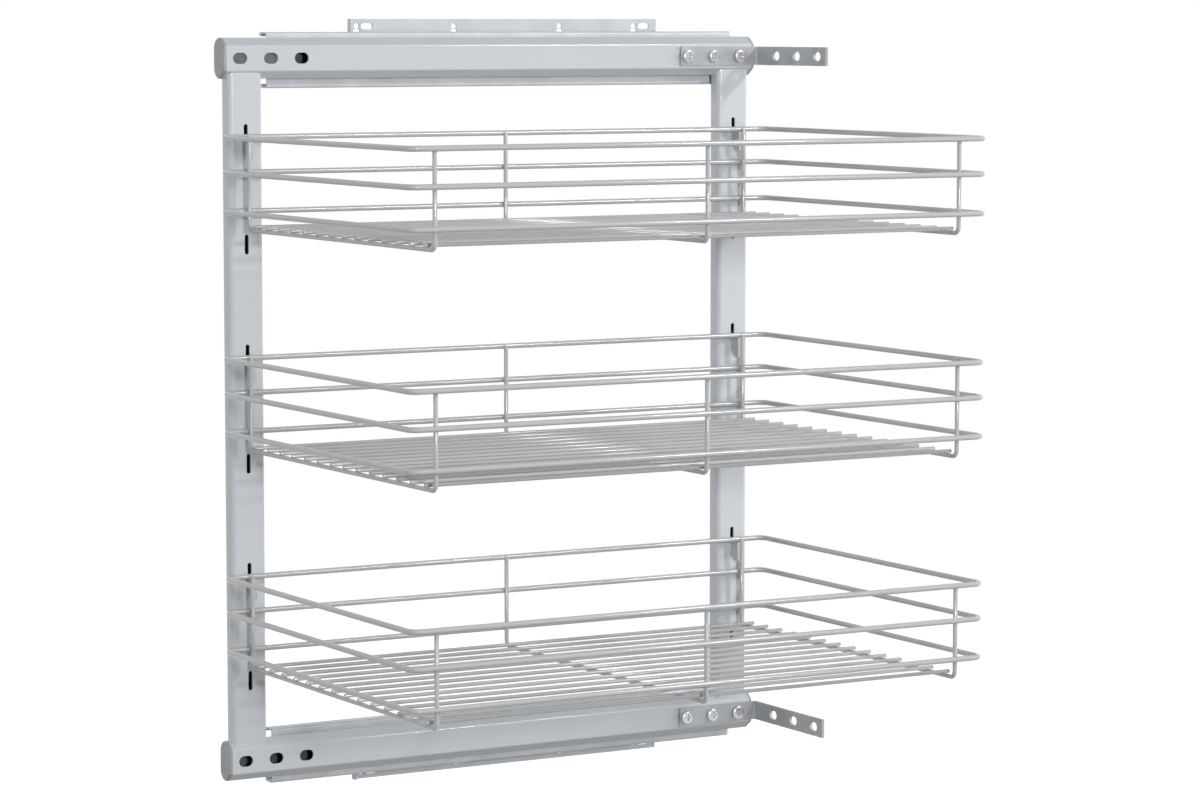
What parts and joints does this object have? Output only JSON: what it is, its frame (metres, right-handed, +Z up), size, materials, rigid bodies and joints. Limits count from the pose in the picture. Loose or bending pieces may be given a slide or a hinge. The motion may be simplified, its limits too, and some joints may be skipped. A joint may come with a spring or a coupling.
{
  "type": "pull-out wire basket frame",
  "caption": "Side-mounted larder pull-out: wire baskets hung on a slotted frame that rides on telescopic slides, with brackets for a cabinet door.",
  "frame": {"origin": "middle of the two slotted screw holes of the lower wall plate, in the middle of the plate's thickness", "axes": "+X the way the frame pulls out, towards the door; +Y towards the cabinet's side wall; +Z up"},
  "size_m": [0.4649, 0.3363, 0.5706],
  "materials": {
    "frame_paint": "satin silver",
    "basket_wire": "satin silver",
    "slide_steel": "zinc plated",
    "wall_plate": "zinc plated",
    "bracket_steel": "zinc plated",
    "fastener": "zinc plated",
    "ball_steel": "polished",
    "end_cap": "grey"
  },
  "bodies": {
    "wall_side": {"upper_wall_plate": "wall_plate", "lower_wall_plate": "wall_plate", "upper_inner_member": "slide_steel", "lower_inner_member": "slide_steel", "plate_rivets": "slide_steel"},
    "upper_intermediate": {"upper_intermediate_member": "slide_steel"},
    "upper_outer_cage": {"upper_outer_ball_cage": "slide_steel", "upper_outer_balls": "ball_steel"},
    "upper_inner_cage": {"upper_inner_ball_cage": "slide_steel", "upper_inner_balls": "ball_steel"},
    "lower_intermediate": {"lower_intermediate_member": "slide_steel"},
    "lower_outer_cage": {"lower_outer_ball_cage": "slide_steel", "lower_outer_balls": "ball_steel"},
    "lower_inner_cage": {"lower_inner_ball_cage": "slide_steel", "lower_inner_balls": "ball_steel"},
    "frame": {"upper_outer_channel": "slide_steel", "lower_outer_channel": "slide_steel", "channel_rivets": "slide_steel", "upper_rail": "frame_paint", "lower_rail": "frame_paint", "rear_upright": "frame_paint", "front_upright": "frame_paint", "upper_rear_end_cap": "end_cap", "plain_end_caps": "end_cap", "upper_door_bracket": "bracket_steel", "lower_door_bracket": "bracket_steel", "bracket_bolts": "fastener", "nut_strips": "fastener"},
    "lower_basket": {"lower_basket_low_rim": "basket_wire", "lower_basket_middle_rim": "basket_wire", "lower_basket_top_rim": "basket_wire", "lower_basket_u_wires": "basket_wire", "lower_basket_floor_wires": "basket_wire", "lower_basket_hook_plates": "basket_wire"},
    "middle_basket": {"middle_basket_low_rim": "basket_wire", "middle_basket_middle_rim": "basket_wire", "middle_basket_top_rim": "basket_wire", "middle_basket_u_wires": "basket_wire", "middle_basket_floor_wires": "basket_wire", "middle_basket_hook_plates": "basket_wire"},
    "upper_basket": {"upper_basket_low_rim": "basket_wire", "upper_basket_middle_rim": "basket_wire", "upper_basket_top_rim": "basket_wire", "upper_basket_u_wires": "basket_wire", "upper_basket_floor_wires": "basket_wire", "upper_basket_hook_plates": "basket_wire"}
  },
  "joints": [
    {"name": "pull_out", "type": "slide", "parent": "wall_side", "child": "frame", "axis": [1, 0, 0], "range_m": [0, 0.395]},
    {"name": "upper_intermediate_slide", "type": "slide", "parent": "wall_side", "child": "upper_intermediate", "axis": [1, 0, 0], "range_m": [0, 0.1975]},
    {"name": "upper_outer_cage_slide", "type": "slide", "parent": "wall_side", "child": "upper_outer_cage", "axis": [1, 0, 0], "range_m": [0, 0.29625]},
    {"name": "upper_inner_cage_slide", "type": "slide", "parent": "wall_side", "child": "upper_inner_cage", "axis": [1, 0, 0], "range_m": [0, 0.09875]},
    {"name": "lower_intermediate_slide", "type": "slide", "parent": "wall_side", "child": "lower_intermediate", "axis": [1, 0, 0], "range_m": [0, 0.1975]},
    {"name": "lower_outer_cage_slide", "type": "slide", "parent": "wall_side", "child": "lower_outer_cage", "axis": [1, 0, 0], "range_m": [0, 0.29625]},
    {"name": "lower_inner_cage_slide", "type": "slide", "parent": "wall_side", "child": "lower_inner_cage", "axis": [1, 0, 0], "range_m": [0, 0.09875]},
    {"name": "lower_basket_lift", "type": "slide", "parent": "frame", "child": "lower_basket", "axis": [0, 0, 1], "range_m": [0, 0.009]},
    {"name": "middle_basket_lift", "type": "slide", "parent": "frame", "child": "middle_basket", "axis": [0, 0, 1], "range_m": [0, 0.009]},
    {"name": "upper_basket_lift", "type": "slide", "parent": "frame", "child": "upper_basket", "axis": [0, 0, 1], "range_m": [0, 0.009]}
  ],
  "couplings": [
    {"joint": "upper_intermediate_slide", "follows": "pull_out", "ratio": 0.5},
    {"joint": "upper_outer_cage_slide", "follows": "pull_out", "ratio": 0.75},
    {"joint": "upper_inner_cage_slide", "follows": "pull_out", "ratio": 0.25},
    {"joint": "lower_intermediate_slide", "follows": "pull_out", "ratio": 0.5},
    {"joint": "lower_outer_cage_slide", "follows": "pull_out", "ratio": 0.75},
    {"joint": "lower_inner_cage_slide", "follows": "pull_out", "ratio": 0.25}
  ]
}
